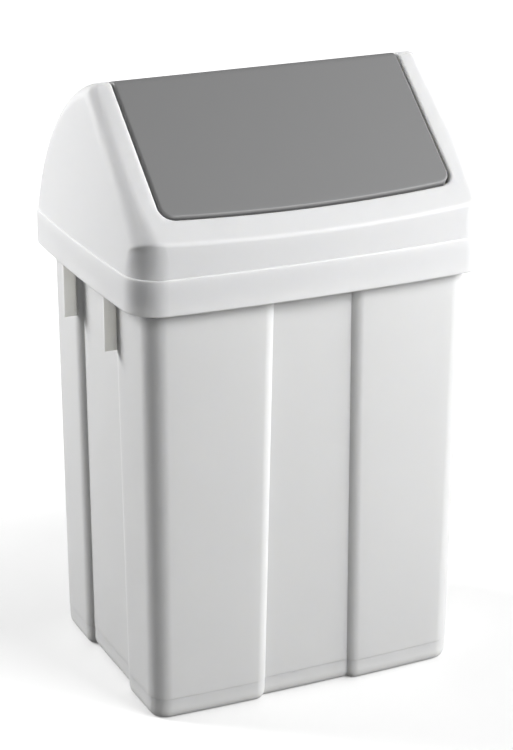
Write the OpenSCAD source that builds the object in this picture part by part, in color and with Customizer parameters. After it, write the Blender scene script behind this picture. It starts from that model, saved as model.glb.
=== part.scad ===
// Rectangular waste bin: a tapered body with recessed side panels, a lift-off
// hood with a sloping front, and a lid that swings on two pins in the hood.
// Millimetres. The bin stands on z = 0, centred on the origin, front at -Y.

/* [Hood] */
// Overall width across the skirt of the hood
hood_w = 340; // [325:1:355]
// Overall depth across the skirt of the hood
hood_d = 270; // [258:1:282]
// How far the front and back of the hood bow out at their middle
hood_bow_front = 6.8; // [2:0.2:8]
// How far the two sides of the hood bow out at their middle
hood_bow_side = 4.2; // [1:0.2:5]
// Plan radius of the skirt's corners
skirt_r = 27; // [24:0.5:29]
// Height of the skirt's lower edge above the floor
skirt_z = 381; // [360:1:400]
// Height of the skirt band up to its ledge
skirt_h = 31.5; // [29:0.5:36]
// Width of the small ledge above the skirt band
ledge_w = 1.2; // [0.8:0.1:1.6]
// Height of the upright front wall, from the ledge to the crease
front_h = 26; // [22:0.5:30]
// Rounding radius of the crease under the slope
crease_r = 4; // [3:0.5:5]
// Angle of the front slope
slope_a = 40; // [38:0.5:42]
// Radius of the curved back of the hood
back_r = 167.5; // [162:0.5:172]
// Height of the centre of that curve above the skirt's lower edge
back_up = 4; // [0:1:9]
// Radius over the ridge
ridge_r = 9; // [8:0.5:10]
// Rounding radius between the slope and the cheeks
edge_r = 12; // [10.5:0.5:13]
// How far each cheek leans inward for each millimetre of height
cheek_lean = 0.079; // [0.06:0.001:0.09]
// Wall of the hood
hood_wall = 2.4; // [2:0.1:2.8]

/* [Body] */
// How far the sides of the body stand in under the hood, at the corners
body_in_x = 14.8; // [13.8:0.1:17.8]
// How far the front and back of the body stand in under the hood, at the corners
body_in_y = 13.2; // [12.2:0.1:16.2]
// How far each side draws in from the hood down to the base line
taper_x = 2.5; // [1:0.1:6.5]
// How far the front and the back draw in from the hood down to the base line
taper_y = 2.3; // [1:0.1:6]
// Bow of the front and back at the top
bow_top_front = 5.4; // [2:0.2:6]
// Bow of the sides at the top
bow_top_side = 3.8; // [1:0.2:4.4]
// Bow of the front and back at the base line
bow_low_front = 3.6; // [1:0.2:5]
// Bow of the sides at the base line
bow_low_side = 0.8; // [0:0.1:3]
// Plan radius of the body's corners
body_r = 17; // [14:0.5:20]
// Wall of the body
body_wall = 2.4; // [2:0.1:2.8]
// Height of the base line around the foot of the body
base_line_z = 19; // [15:1:24]
// Step at the base line
base_step = 0.4; // [0.2:0.1:0.8]
// How far the rounded foot draws in
foot_in = 4.4; // [3:0.2:6]
// Height of the rounding at the foot
foot_h = 10; // [7:0.5:13]
// Width of the ring that the body stands on
foot_ring_w = 6; // [4:0.5:9]
// How far the base panel is raised inside that ring
base_lift = 2.5; // [1:0.5:5]

/* [Recessed panels] */
// Depth of the recessed panels
recess_d = 5.4; // [3:0.2:6.4]
// Radius of the columns' edges beside the panels
column_r = 12; // [9:0.5:14]
// Half width of the front and back panels at the top
recess_front_top = 36.5; // [30:0.5:42]
// Half width of the front and back panels at the base line
recess_front_low = 41; // [34:0.5:48]
// Half width of the side panels at the top
recess_side_top = 42; // [36:0.5:46]
// Half width of the side panels at the base line
recess_side_low = 45.5; // [38:0.5:50]

/* [Hand-holds] */
// Distance of each grip rib from the middle of the side
grip_y = 48.4; // [44:0.2:54]
// Thickness of a grip rib
grip_t = 2.4; // [2:0.1:3]
// How far a rib's outer edge lies inside the hood's skirt
grip_in = 5; // [4:0.5:8]
// Height of a rib below the hood's lower edge
grip_h = 53; // [40:1:65]

/* [Swing lid] */
// Gap between the lid and the sides of the opening
side_gap = 2.8; // [2:0.1:3.6]
// Width of the hood beside the opening, seen from the front
rail_w = 33.2; // [31:0.1:37]
// Gap between the lower edge of the lid and the opening
front_gap = 3.2; // [2.6:0.1:5]
// Distance along the slope from the crease to the lid
lid_up = 26.2; // [24:0.1:29]
// How far the lid reaches down the back from the ridge
lid_over = 79.7; // [76:0.1:84]
// Length of the hood's back behind the lid that doesn't bow
level_over = 6; // [4:0.5:10]
// Wall of the lid
lid_wall = 2.2; // [1.8:0.1:2.6]
// Depth of the lid's turned-in edge
lid_edge = 11; // [9:0.5:12]
// Radius of the lid's lower corners
lid_corner_r = 12; // [8:0.5:16]
// Depth of the turned-in edge around the opening
opening_edge = 12; // [10:0.5:14]
// Wall of the opening's turned-in edge
edge_t = 2; // [1.6:0.1:2.6]
// Gap between the lid's back edge and the hood
rear_gap = 1.5; // [1:0.1:2.5]

/* [Pivot] */
// Radius of each pivot pin
pin_r = 3; // [2.5:0.1:3.5]
// Running clearance around a pin in the hood
pin_play = 0.05; // [0.02:0.01:0.1]
// Clearance around a pin in the lid, a push fit
pin_push = 0.02; // [0.01:0.01:0.03]
// Radius of a pin's head
head_r = 5; // [4.2:0.1:6]
// Thickness of a pin's head
head_t = 1.6; // [1.2:0.1:2.4]
// How far a pin stands out behind the hood's flange
pin_out = 1.6; // [1:0.1:3]
// Distance of the pivot from the ridge, down the slope
pivot_down = 30.7; // [26:0.1:36]
// Depth of the pivot under the slope
pivot_deep = 8.5; // [8:0.1:9.5]
// Radius of the round ears about the pivot
ear_r = 7.5; // [6:0.1:7.9]
// How far the ears stand out into the gap between the lid and the hood
ear_out = 0.3; // [0.2:0.1:0.6]
// How far the ears stand out on the side away from the gap
ear_in = 0.8; // [0.5:0.1:1.5]

/* [Rim] */
// Clearance between the body's collar and the hood's skirt
skirt_play = 0.5; // [0.3:0.1:0.8]
// Gap between the top of the collar and the hood
seat_gap = 0.3; // [0.2:0.05:0.4]
// Height at which the flare starts, above the skirt's lower edge
flare_up = 3; // [1:0.5:6]
// Height of the flare
flare_h = 5; // [4:0.5:8]
// Number of seating ribs along the front, and along the back
seat_ribs = 3; // [2:1:4]
// Thickness of a seating rib
rib_t = 2; // [1.6:0.1:2.6]
// Height of a seating rib
rib_h = 14; // [8:1:16]
// Depth of a seating rib
rib_d = 6; // [5:0.5:8]

/* [Hidden] */
fine = 96;             // facets of a full circle on round parts
round_steps = 6;       // facets of each rounded edge of the hood
row_half = 4;          // facets from the middle of the hood to its rounding
cheek_steps = 4;       // facets across each cheek
ridge_n = 5;           // facets over the ridge of the hood
lid_edge_n = 24;       // facets along the lower edge of the lid
lid_corner_n = 8;      // facets of the lid's lower corners
lid_ridge_n = 8;       // facets of the lid over the ridge
lid_back_n = 10;       // facets of the lid down the back
panel_n = 3;           // facets of half a recessed panel
bend_n = 5;            // facets of the bend beside it
column_n = 4;          // facets from there to the body's corner
corner_n = 6;          // facets of a corner of the body
foot_n = 4;            // facets of the rounded foot
least_r = 2.5;         // least radius of a rounding on the inside of the hood
bow_fade = 1.5;        // how quickly the bow of the hood's back fades with height
base_cove = 2;         // height of the cove around the inside of the base

// ---- shared geometry of the hood ----
skirt_x = hood_w / 2 - hood_bow_side;     // half width at the corners
skirt_y = hood_d / 2 - hood_bow_front;    // half depth at the corners
upper_y = skirt_y - ledge_w;
ledge_z = skirt_z + skirt_h;
crease_z = ledge_z + front_h;
crease_y = -(upper_y + hood_bow_front);   // at the middle of the front
along = [cos(slope_a), sin(slope_a)];     // up the slope, in [y, z]
out = [-sin(slope_a), cos(slope_a)];      // square to the slope
back_z = skirt_z + back_up;
back_c = [upper_y - sqrt(pow(back_r, 2) - pow(ledge_z - back_z, 2)), back_z];
crease_c = [crease_y, crease_z];
slope_off = (crease_c - back_c) * out;    // slope's distance from back_c

function mix(a, b, t) = a + (b - a) * t;
function polar(r, a) = [r * cos(a), r * sin(a)];
function arc_a(length, r) = length / r * 180 / PI;   // angle of an arc, in degrees
function bow(b, t, half) = b * (1 - pow(t / half, 2));
function hood_bow(x) = bow(hood_bow_front, x, skirt_x);

// Radius left of a rounding after an inward offset d
function left_r(r, d) = max(r - d, least_r);

// Centre of the ridge rounding of the profile offset inward by d
function ridge_c(d) =
    let (r = left_r(ridge_r, d), h = slope_off - d - r)
    back_c + out * h + along * sqrt(pow(back_r - d - r, 2) - h * h);
ridge_run = (ridge_c(0) - back_c) * along;   // from under back_c up to the ridge
function back_a(d) =
    let (v = ridge_c(d) - back_c) atan2(v[1], v[0]);
slope_n = 90 + slope_a;                   // direction of out, in degrees

// Half width of a cheek at [y, z], skirt or upper part
function cheek_x(y, z, upper) =
    skirt_x + bow(hood_bow_side, y, skirt_y)
    - (upper ? ledge_w + cheek_lean * (z - ledge_z) : 0);

// Stations of the hood's rings: the skirt's two, the first above the ledge, the
// starts of the crease, the slope and the ridge, and the last, half-way over it
upper_k = 2;
crease_k = 4;
slope_k = 6;
ridge_k = 15;
last = ridge_k + (ridge_n - 1) / 2;
// Front of the hood at station k, as [y, z] at width x. w is the inward offset
// of the skin, d that of the point.
function crease_at(x) =
    let (y = -(upper_y + hood_bow(x)))
    [y, crease_z + (y - crease_y) * tan(slope_a)];
function front_pt(k, x, w, d) =
    let (c = crease_at(x), r = left_r(crease_r, d), q = tan(slope_a) - 1 / cos(slope_a),
         mid = c + (d + r) * [1, q])
    k == 0 ? [-(skirt_y + hood_bow(x)) + d, skirt_z] :
    k == 1 ? [-(skirt_y + hood_bow(x)) + d, ledge_z - w] :
    k < crease_k ?
        [c[0] + d, mix(ledge_z - w, mid[1], (k - upper_k) / (crease_k - upper_k))] :
    k <= slope_k ? mid + polar(r, mix(180, slope_n, (k - crease_k) / (slope_k - crease_k))) :
    k >= ridge_k ? ridge_pt(k - ridge_k, d) :
    let (t = slope_t(k), a = (mid - c) * along, b = (ridge_c(d) - c) * along)
    c + along * mix(a, b, t) - out * d;
function slope_t(k) = (k - slope_k) / (ridge_k - slope_k);
function ridge_pt(i, d) =
    ridge_c(d) + polar(left_r(ridge_r, d), mix(slope_n, back_a(d), i / ridge_n));

// Share of the bow that the back has at angle a: all at the ledge, and none
// from just behind the lid upwards, so that the lid lies flush
function back_share(a) =
    let (end = cos(lid_end_a - arc_a(level_over, back_r)),
         low = cos(asin((ledge_z - back_z) / back_r)))
    pow(max(0, cos(a) - end) / (low - end), bow_fade);

// Back of the hood, station k from the skirt's edge to the ridge
function back_pt(k, x, w, d) =
    let (low = asin((ledge_z - w - back_z) / (back_r - d)), high = back_a(d),
         a = mix(low, high, (k - upper_k) / (ridge_k - upper_k)))
    k == 0 ? [skirt_y + hood_bow(x) - d, skirt_z] :
    k == 1 ? [skirt_y + hood_bow(x) - d, ledge_z - w] :
    k >= ridge_k ? ridge_pt(ridge_n - (k - ridge_k), d) :
    back_c + polar(back_r - d, a) + [hood_bow(x) * back_share(a), 0];

// Rounding radius at a station: wide at the upright corners, tight on top
wide_r = skirt_r - ledge_w;
crease_tight = 0.25;   // share of the way to edge_r at the start of the crease
crease_gain = 0.12;    // share added at each station of the crease
slope_wide = 0.4;      // share of the way back to wide_r at the foot of the slope
slope_part = 0.5;      // part of the slope over which that share fades
function front_r(k) =
    k < upper_k ? skirt_r : k < crease_k ? wide_r :
    k <= slope_k ? mix(wide_r, edge_r, crease_tight + crease_gain * (k - crease_k)) :
    mix(edge_r, wide_r, slope_wide * pow(max(0, 1 - slope_t(k) / slope_part), 2));
function rear_r(k) =
    k < upper_k ? skirt_r :
    k < ridge_k ? mix(wide_r, edge_r, (k - upper_k) / (ridge_k - upper_k)) : edge_r;

function side_pt(p, x_in, w, upper) = [cheek_x(p[0], p[1], upper) - w - x_in, p[0], p[1]];

// One row of points across the front or back, from the left cheek to the right
function half_row(k, w, rear) =
    let (r = (rear ? rear_r(k) : front_r(k)) - w, up = k >= upper_k,
         pt = function (x, d) rear ? back_pt(k, x, w, d) : front_pt(k, x, w, d),
         x0 = skirt_x - r - w,
         flat = side_pt(pt(x0, w), r, w, up))
    concat(
        [for (j = [0 : row_half - 1])
            let (x = flat[0] * j / row_half, p = pt(x, w)) [x, p[0], p[1]]],
        [for (j = [0 : round_steps])
            let (a = 90 - 90 * j / round_steps, in_x = r * (1 - cos(a)),
                 p = pt(skirt_x - w - in_x, w + r * (1 - sin(a))))
            side_pt(p, in_x, w, up)]);
function flip_x(p) = [-p[0], p[1], p[2]];
function full_row(h) =
    concat([for (i = [len(h) - 1 : -1 : 1]) flip_x(h[i])], h);
function rev(v) = [for (i = [len(v) - 1 : -1 : 0]) v[i]];

// Points between the front and the back row on the right cheek
function cheek_pts(f, b, w, up) =
    [for (i = [1 : cheek_steps - 1])
        let (y = mix(f[1], b[1], i / cheek_steps), z = mix(f[2], b[2], i / cheek_steps))
        [cheek_x(y, z, up) - w, y, z]];
function hood_ring(k, w) =
    let (f = half_row(k, w, false), b = half_row(k, w, true),
         c = cheek_pts(f[len(f) - 1], b[len(b) - 1], w, k >= upper_k))
    concat(full_row(f), c, rev(full_row(b)), [for (p = rev(c)) flip_x(p)]);

function flatten(v) = [for (part = v) for (p = part) p];
// Side faces between rings a..b-1 of n points each, clockwise from outside
function wall_faces(a, b, n) =
    [for (k = [a : b - 1]) for (i = [0 : n - 1])
        let (j = (i + 1) % n) [k * n + i, (k + 1) * n + i, (k + 1) * n + j, k * n + j]];
function flipped(faces) = [for (f = faces) rev(f)];

// Faces that close the last ring of the hood along the ridge
function ridge_faces(base, m, c) =
    let (rear = function (j) base + 2 * m + c - j)
    concat(
        [for (j = [1 : m - 2]) [base + j, rear(j), rear(j + 1), base + j + 1]],
        [concat([base], [for (i = [2 * m + 2 * c - 1 : -1 : 2 * m + c]) base + i],
                [rear(1), base + 1])],
        [concat([base + m - 1, rear(m - 1)],
                [for (i = [m + c : -1 : m + 1]) base + i], [base + m])]);

module hood_shell() {
    outer = [for (k = [0 : last]) hood_ring(k, 0)];
    inner = [for (k = [0 : last]) hood_ring(k, hood_wall)];
    n = len(outer[0]);
    rows = last + 1;
    m = 2 * (row_half + round_steps);
    skin = wall_faces(0, last, n);
    top = ridge_faces(last * n, m, cheek_steps);
    shift = rows * n;
    polyhedron(
        points = flatten(concat(outer, inner)),
        faces = concat(
            skin, top,
            [for (f = flipped(concat(skin, top))) [for (i = f) i + shift]],
            [for (i = [0 : n - 1]) let (j = (i + 1) % n) [i, j, j + shift, i + shift]]),
        convexity = 8);
}

// ---- opening, lid and pivot ----
opening_x = hood_w / 2 - rail_w;          // half width of the opening
pivot = back_c + out * (slope_off - pivot_deep) + along * (ridge_run - pivot_down);
lid_x = opening_x - side_gap;
opening_s = lid_up - front_gap;           // lower edge of the opening, up the slope
opening_r = lid_corner_r + side_gap;
lid_end_a = back_a(0) - arc_a(lid_over, back_r);
lid_end = back_c + polar(back_r, lid_end_a);
swing_r = norm(lid_end - pivot) + rear_gap;
// The lower edges of the lid and the opening bow like the crease does
edge_bow = hood_bow_front / cos(slope_a) * pow(lid_x / skirt_x, 2);

// Outline on the slope: half width x, lower edge at s, corner radius r
function slope_outline(x, s, r, far) =
    let (low = function (t) s + edge_bow * pow(t / x, 2), c = [x - r, low(x - r) + r],
         corner = [for (i = [0 : lid_corner_n]) c + polar(r, -90 + 90 * i / lid_corner_n)])
    concat(
        [[-x, far]],
        [for (p = rev(corner)) [-p[0], p[1]]],
        [for (i = [1 : lid_edge_n - 1]) let (t = mix(-c[0], c[0], i / lid_edge_n)) [t, low(t)]],
        corner, [[x, far]]);
// Stands a shape drawn in [x, s] on the slope, from depth a to depth b
module on_slope(a, b) {
    translate([0, crease_c[0], crease_c[1]]) rotate([slope_a, 0, 0])
        translate([0, 0, -b]) linear_extrude(b - a) children();
}
// Runs a [y, z] profile across the width from x0 to x1
module across(x0, x1) {
    translate([x0, 0, 0]) rotate([90, 0, 90]) linear_extrude(x1 - x0) children();
}
// Line of slope, ridge and back at depth d, from s up the slope to angle end_a
function top_line(s, d, end_a) =
    concat(
        [crease_c + along * s - out * d],
        [for (i = [0 : lid_ridge_n])
            ridge_c(d) + polar(left_r(ridge_r, d), mix(slope_n, back_a(d), i / lid_ridge_n))],
        [for (i = [1 : lid_back_n])
            back_c + polar(back_r - d, mix(back_a(d), end_a, i / lid_back_n))]);
// Band of that profile between depths a and b
module top_band(s, a, b, end_a) {
    polygon(concat(top_line(s, a, end_a), rev(top_line(s, b, end_a))));
}
// Round boss about the pivot from x0 to x1
module pivot_disc(r, x0, x1) {
    translate([x0, pivot[0], pivot[1]]) rotate([0, 90, 0]) cylinder(r = r, h = x1 - x0, $fn = fine);
}
module both_sides() {
    children();
    mirror([1, 0, 0]) children();
}

// ---- hood ----
module opening_cut() {
    deep = opening_edge * 2;
    wide = 2 * opening_x + edge_t;
    reach = (pivot - crease_c) * along;
    intersection() {
        on_slope(-back_r, back_r)
            polygon(slope_outline(opening_x, opening_s, opening_r, 2 * back_r));
        union() {
            pivot_disc(swing_r, -wide / 2 - edge_t, wide / 2 + edge_t);
            on_slope(-deep, deep) translate([-wide / 2, 0]) square([wide, reach]);
        }
    }
}
// Turned-in edge of the opening, with the ears that carry the pins
module opening_rim() {
    far = 2 * back_r;
    wide = opening_x + edge_t;
    difference() {
        union() {
            intersection() {
                across(-wide - edge_t, wide + edge_t)
                    top_band(0, hood_wall / 2, opening_edge, lid_end_a);
                on_slope(-back_r, back_r) difference() {
                    polygon(slope_outline(wide, opening_s - edge_t, opening_r + edge_t, far));
                    polygon(slope_outline(opening_x, opening_s, opening_r, far + edge_t));
                }
            }
            both_sides() pivot_disc(ear_r, opening_x - ear_out, wide + ear_in);
        }
        both_sides() pivot_disc(pin_r + pin_play, opening_x - edge_t, wide + edge_t);
    }
}
// Ribs inside the hood that rest on the body's collar
module hood_ribs() {
    z0 = ledge_z - hood_wall;
    z1 = z0 + rib_h;
    mid = back_r - hood_wall / 2;
    for (i = [0 : seat_ribs - 1]) {
        x = skirt_x * (2 * (i + 0.5) / seat_ribs - 1);
        y = upper_y + hood_bow(x);
        rear = function (z)
            let (a = asin((z - back_z) / mid)) back_c[0] + mid * cos(a) + hood_bow(x) * back_share(a);
        across(x - rib_t / 2, x + rib_t / 2) {
            polygon([[-y + hood_wall / 2, z0], [-y + hood_wall + rib_d, z0],
                     [-y + hood_wall + rib_t, z1], [-y + hood_wall / 2, z1]]);
            polygon([[rear(z0), z0], [rear(z0) - rib_d - hood_wall / 2, z0],
                     [rear(z1) - rib_t, z1], [rear(z1), z1]]);
        }
    }
}
module hood() {
    color("white") {
        difference() {
            hood_shell();
            opening_cut();
        }
        opening_rim();
        hood_ribs();
    }
}

// ---- swing lid ----
// Lid drawn in by d on every side, from depth a to depth b
module lid_block(d, a, b) {
    reach = back_r;
    end_a = lid_end_a + arc_a(d, back_r);
    intersection() {
        across(-lid_x + d, lid_x - d) top_band(0, a, b, end_a);
        on_slope(-reach, reach)
            polygon(slope_outline(lid_x - d, lid_up + d, lid_corner_r - d, 2 * reach));
    }
}
module swing_lid() {
    color([0.55, 0.55, 0.55]) difference() {
        union() {
            difference() {
                lid_block(0, 0, lid_edge);
                lid_block(lid_wall, lid_wall, lid_edge + lid_wall);
            }
            both_sides() pivot_disc(ear_r, lid_x - lid_wall - ear_in, lid_x + ear_out);
        }
        both_sides() pivot_disc(pin_r + pin_push, lid_x - 2 * lid_wall, opening_x);
    }
}

// ---- pivot pins ----
module pivot_pin() {
    inner = lid_x - lid_wall - ear_in;
    color("gray") {
        pivot_disc(head_r, inner - head_t, inner);
        pivot_disc(pin_r, inner - head_t / 2, opening_x + edge_t + ear_in + pin_out);
    }
}
module pivot_pin_right() { pivot_pin(); }
module pivot_pin_left() { mirror([1, 0, 0]) pivot_pin(); }

// ---- body ----
body_top_x = skirt_x - body_in_x;         // half width at the corners, at the top
body_top_y = skirt_y - body_in_y;         // half depth there
body_low_x = body_top_x - taper_x;        // the same at the base line
body_low_y = body_top_y - taper_y;
flare_z = skirt_z + flare_up;
collar_z = ledge_z - hood_wall - seat_gap;
collar_in = hood_wall + skirt_play;
// Share of the way from the base line (0) up to the flare (1)
function up(z) = max(0, (z - base_line_z) / (flare_z - base_line_z));
// Radius of the bend beside a panel for a line drawn in by d, the angle it
// turns through, and its centre's distance from the middle of a panel of half width w
function edge_r_at(d) = max(column_r - d, recess_d);
function edge_a(d) = acos(1 - recess_d / edge_r_at(d));
function edge_mid(w) = w + column_r * sin(edge_a(0));

// Points [t, depth] along one side, from its middle to the corner's start
function side_line(half, w, r, d, s) =
    let (c = edge_mid(w), e = edge_r_at(d), a = edge_a(d), w0 = c - e * sin(a))
    concat(
        [for (i = [0 : panel_n - 1]) [w0 * i / panel_n, recess_d * s]],
        [for (i = [0 : bend_n])
            let (b = a * (1 - i / bend_n)) [c - e * sin(b), e * (1 - cos(b)) * s]],
        [for (i = [1 : column_n - 1]) [mix(c, half - r, i / column_n), 0]]);
// Quarter of an outline, from the middle of the front to that of the right side
function quarter(hx, hy, r, wf, ws, d, s) =
    concat(
        [for (p = side_line(hx, wf, r, d, s)) [p[0], -(hy - d - p[1])]],
        [for (i = [0 : corner_n]) [hx - r, -(hy - r)] + polar(r - d, -90 + 90 * i / corner_n)],
        rev([for (p = side_line(hy, ws, r, d, s)) [hx - d - p[1], -p[0]]]));
function bowed(p, hx, hy, bf, bs, z) =
    [p[0] + bs * (p[0] / hx) * (1 - pow(p[1] / hy, 2)),
     p[1] + bf * (p[1] / hy) * (1 - pow(p[0] / hx, 2)), z];
function all_round(q) =
    let (n = len(q) - 1)
    concat(q, [for (i = [n - 1 : -1 : 0]) [q[i][0], -q[i][1]]],
           [for (i = [1 : n]) [-q[i][0], -q[i][1]]],
           [for (i = [n - 1 : -1 : 1]) [-q[i][0], q[i][1]]]);
// Ring of the body at height z, drawn in by d
function body_ring(z, d) =
    let (t = up(z), hx = mix(body_low_x, body_top_x, t), hy = mix(body_low_y, body_top_y, t),
         wf = mix(recess_front_low, recess_front_top, t),
         ws = mix(recess_side_low, recess_side_top, t),
         bf = mix(bow_low_front, bow_top_front, t), bs = mix(bow_low_side, bow_top_side, t))
    [for (p = all_round(quarter(hx, hy, body_r, wf, ws, d, 1))) bowed(p, hx, hy, bf, bs, z)];
// Ring of the collar that the hood sits on
function collar_ring(z, d) =
    let (e = collar_in + d)
    [for (p = all_round(quarter(skirt_x, skirt_y, skirt_r, recess_front_top, recess_side_top,
                                e, 0)))
        bowed(p, skirt_x, skirt_y, hood_bow_front, hood_bow_side, z)];
body_rings = concat(
    [body_ring(base_lift, foot_in + foot_ring_w + base_lift), body_ring(0, foot_in + foot_ring_w)],
    [for (i = [0 : foot_n]) let (a = 90 * i / foot_n)
        body_ring(foot_h * (1 - cos(a)), base_step + foot_in * (1 - sin(a)))],
    [body_ring(base_line_z, base_step), body_ring(base_line_z + base_step, 0),
     body_ring(flare_z, 0), collar_ring(flare_z + flare_h, 0), collar_ring(collar_z, 0),
     collar_ring(collar_z, body_wall), collar_ring(flare_z + flare_h + body_wall, body_wall),
     body_ring(flare_z + body_wall, body_wall), body_ring(foot_h + body_wall, body_wall + base_step),
     body_ring(base_lift + body_wall + base_cove, foot_in + base_step),
     body_ring(base_lift + body_wall, foot_in + base_step + body_wall)]);
// Triangles from the n points at first to the point at centre, seen from above
function fan(first, n, centre) =
    [for (i = [0 : n - 1]) [first + (i + 1) % n, first + i, centre]];
module body_shell() {
    n = len(body_rings[0]);
    top = len(body_rings) - 1;
    under = (top + 1) * n;
    polyhedron(points = concat(flatten(body_rings), [[0, 0, body_rings[0][0][2]],
                                                     [0, 0, body_rings[top][0][2]]]),
               faces = concat(wall_faces(0, top, n), flipped(fan(0, n, under)),
                              fan(top * n, n, under + 1)),
               convexity = 8);
}
// Ribs under the collar, either side of each hand-hold
module grip_rib() {
    z0 = skirt_z - grip_h;
    t = up(z0);
    w = mix(recess_side_low, recess_side_top, t);
    body_x = function (z) mix(body_low_x, body_top_x, up(z))
        + bow(mix(bow_low_side, bow_top_side, up(z)), grip_y, body_top_y);
    short = max(0, edge_mid(w) - grip_y + grip_t / 2);
    x0 = body_x(z0) - (column_r - sqrt(max(0, column_r * column_r - short * short)))
        - body_wall / 2;
    x1 = skirt_x + bow(hood_bow_side, grip_y, skirt_y) - grip_in;
    collar_x = skirt_x + bow(hood_bow_side, grip_y, skirt_y) - collar_in;
    under = function (x) flare_z + body_wall / 2
        + flare_h * (x - body_x(flare_z)) / (collar_x - body_x(flare_z));
    translate([0, grip_y + grip_t / 2, 0]) rotate([90, 0, 0]) linear_extrude(grip_t)
        polygon([[x0, z0], [x1, z0], [x1, under(x1)], [x0, under(x0)]]);
}
module bin_body() {
    color("whitesmoke") {
        body_shell();
        for (m = [0, 1]) both_sides() mirror([0, m, 0]) grip_rib();
    }
}

bin_body();
hood();
swing_lid();
pivot_pin_left();
pivot_pin_right();
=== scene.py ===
"""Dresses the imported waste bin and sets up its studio, its light and its camera.

The body, the hood and the swing lid are worked out again as smooth skins from
the same sizes as the solids, with their small roundings, and each gets the
finish of moulded plastic. Sizes are in millimetres and become metres where a
mesh is made. The bin stands on z = 0 with its front at -Y.
"""

import logging
import math
from dataclasses import dataclass, field
from enum import Enum
from typing import Sequence

import bmesh
import bpy
import numpy as np
from mathutils import Matrix, Vector


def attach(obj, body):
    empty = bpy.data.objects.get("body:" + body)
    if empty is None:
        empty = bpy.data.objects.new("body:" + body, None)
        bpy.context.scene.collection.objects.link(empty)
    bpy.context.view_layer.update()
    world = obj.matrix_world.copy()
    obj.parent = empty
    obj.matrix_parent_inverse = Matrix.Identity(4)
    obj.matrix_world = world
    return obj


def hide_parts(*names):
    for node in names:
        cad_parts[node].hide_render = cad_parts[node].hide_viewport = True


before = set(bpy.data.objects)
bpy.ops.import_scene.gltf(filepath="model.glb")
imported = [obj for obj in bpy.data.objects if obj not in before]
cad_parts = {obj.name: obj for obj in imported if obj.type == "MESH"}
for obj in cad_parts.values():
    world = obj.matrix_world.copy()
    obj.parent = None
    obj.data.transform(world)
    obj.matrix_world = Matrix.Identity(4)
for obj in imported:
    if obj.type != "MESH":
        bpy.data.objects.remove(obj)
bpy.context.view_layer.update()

LOG = logging.getLogger("waste_bin")
Array = np.ndarray
Value = float | np.ndarray
MM = 0.001
WELD = 2e-6
FLIP = np.array([-1, 1, 1])


# ---------------------------------------------------------------- mesh tools
def mix(a: Value, b: Value, t: Value) -> Value:
    """Blends from a (t = 0) to b (t = 1)."""
    return a + (b - a) * t


def shares(count: int) -> Array:
    """Returns 0 to 1 in count even steps."""
    return np.linspace(0, 1, count + 1)


def polar(r: Value, degrees: Value) -> tuple:
    """Returns r turned by an angle, as two coordinates."""
    turn = np.radians(degrees)
    return r * np.cos(turn), r * np.sin(turn)


def edge_round(r: float, count: int, past: float = 0.0) -> list[tuple]:
    """Works out the rounded edge of a wall, from its face to its side.

    Args:
        r: Radius of the rounding.
        count: Number of points.
        past: How far the side lies outside the outline.

    Returns:
        Points as (distance inwards, depth).
    """
    across, down = polar(r, np.linspace(0, 90, count))[::-1]
    return [(r - past - a, r - b) for a, b in zip(across, down)]


def wall_end(near: float, far: float, last: float, ease: float) -> list[tuple]:
    """Works out the end of a wall that turns inwards, with its two softened edges.

    Args:
        near: Distance inwards of the wall's outer side.
        far: Distance inwards of its inner side.
        last: Depth at which it ends.
        ease: How far the middle of a softened edge lies before that depth.

    Returns:
        Points as (distance inwards, depth).
    """
    cut, mid = 0.6, 0.2
    return [(near, last / 2), (near, last - cut), (near + mid, last - ease), (near + cut, last),
            (far - cut, last), (far - mid, last - ease), (far, last - cut)]


def link(made: bpy.types.Object) -> bpy.types.Object:
    """Links an object to the scene and returns it."""
    bpy.context.scene.collection.objects.link(made)
    return made


def finish(mesh: bpy.types.Mesh, shape: bmesh.types.BMesh, sharp: float) -> bpy.types.Object:
    """Writes an edited shape to its mesh and makes a smooth object of it.

    Args:
        mesh: The mesh, which gives the object its name.
        shape: The edited shape, which is freed.
        sharp: Angle between faces, in degrees, above which an edge is crisp.

    Returns:
        The object, at the origin.
    """
    shape.to_mesh(mesh)
    shape.free()
    mesh.polygons.foreach_set("use_smooth", np.ones(len(mesh.polygons), bool))
    mesh.set_sharp_from_angle(angle=math.radians(sharp))
    return link(bpy.data.objects.new(mesh.name, mesh))


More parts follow.
